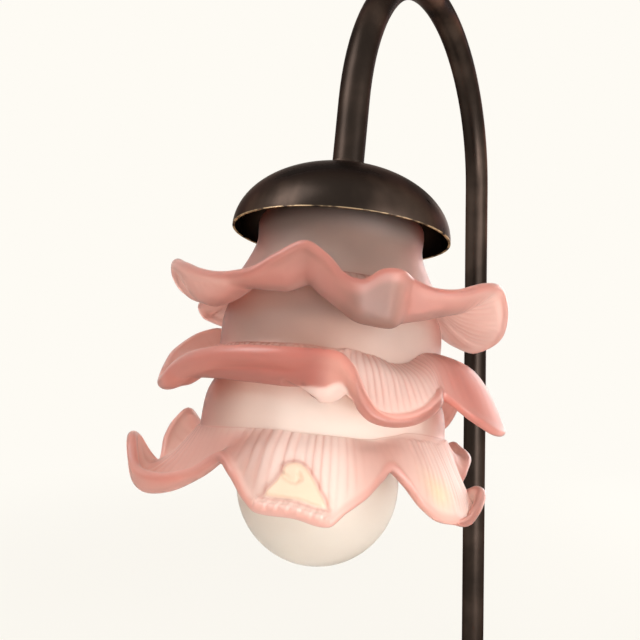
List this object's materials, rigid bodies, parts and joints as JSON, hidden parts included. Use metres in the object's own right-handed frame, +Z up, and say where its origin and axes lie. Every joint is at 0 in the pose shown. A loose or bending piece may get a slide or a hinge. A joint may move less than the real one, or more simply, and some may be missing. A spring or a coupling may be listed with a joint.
{
  "type": "table lamp",
  "caption": "Table lamp with a round weighted base, an arched dark metal tube stem and a hanging frosted glass shade of three ruffled petal tiers round a frosted bulb.",
  "frame": {"origin": "centre of the underside of the base, on the stem's axis", "axes": "+Z up the stem, -Y from the stem towards the head"},
  "size_m": [0.16, 0.3396, 0.4162],
  "materials": {
    "bronze": "dark patinated bronze, satin",
    "iron": "plain cast iron",
    "felt": "dark brown felt",
    "steel": "zinc-plated steel",
    "dark_resin": "moulded dark resin",
    "ceramic": "opaque glazed ceramic",
    "brass": "plain brass",
    "cap_metal": "nickel-plated brass",
    "black_glass": "opaque black insulating glass",
    "frosted_pink": "satin frosted glass, salmon pink at the petals and greyer on the walls",
    "frosted_white": "frosted white bulb glass",
    "fibre": "pressed fibre"
  },
  "bodies": {
    "lamp": {"base_cover": "bronze", "base_felt": "felt", "base_nipple": "steel", "base_nut": "steel", "base_washer": "steel", "base_weight": "iron", "centre_contact": "brass", "dome_cap": "bronze", "dome_nut": "steel", "dome_washer": "steel", "foot_collar": "bronze", "gasket_bottom": "fibre", "gasket_top": "fibre", "head_nipple": "steel", "holder_body": "dark_resin", "holder_cap": "dark_resin", "holder_insert": "ceramic", "inlet_bush": "dark_resin", "inlet_nut": "dark_resin", "screw_shell": "brass", "shade_lower": "frosted_pink", "shade_middle": "frosted_pink", "shade_ring_top": "dark_resin", "shade_upper": "frosted_pink", "sleeve_lower": "fibre", "sleeve_upper": "fibre", "stem_tube": "bronze", "terminal_live": "brass", "terminal_neutral": "brass", "tip_ring": "bronze"},
    "bulb": {"bulb_glass": "frosted_white", "bulb_cap": "cap_metal", "bulb_insulator": "black_glass", "bulb_contact": "brass"},
    "clamp_ring": {"shade_ring_bottom": "dark_resin"}
  },
  "joints": [
    {"name": "bulb_turn", "type": "hinge", "parent": "lamp", "child": "bulb", "pos_m": [0, -0.18873, 0.24584], "axis": [0, -0.2079, -0.9781], "range_deg": [0, 1260]},
    {"name": "ring_turn", "type": "hinge", "parent": "lamp", "child": "clamp_ring", "pos_m": [0, -0.18789, 0.24975], "axis": [0, -0.2079, -0.9781], "range_deg": [0, 1080]}
  ]
}
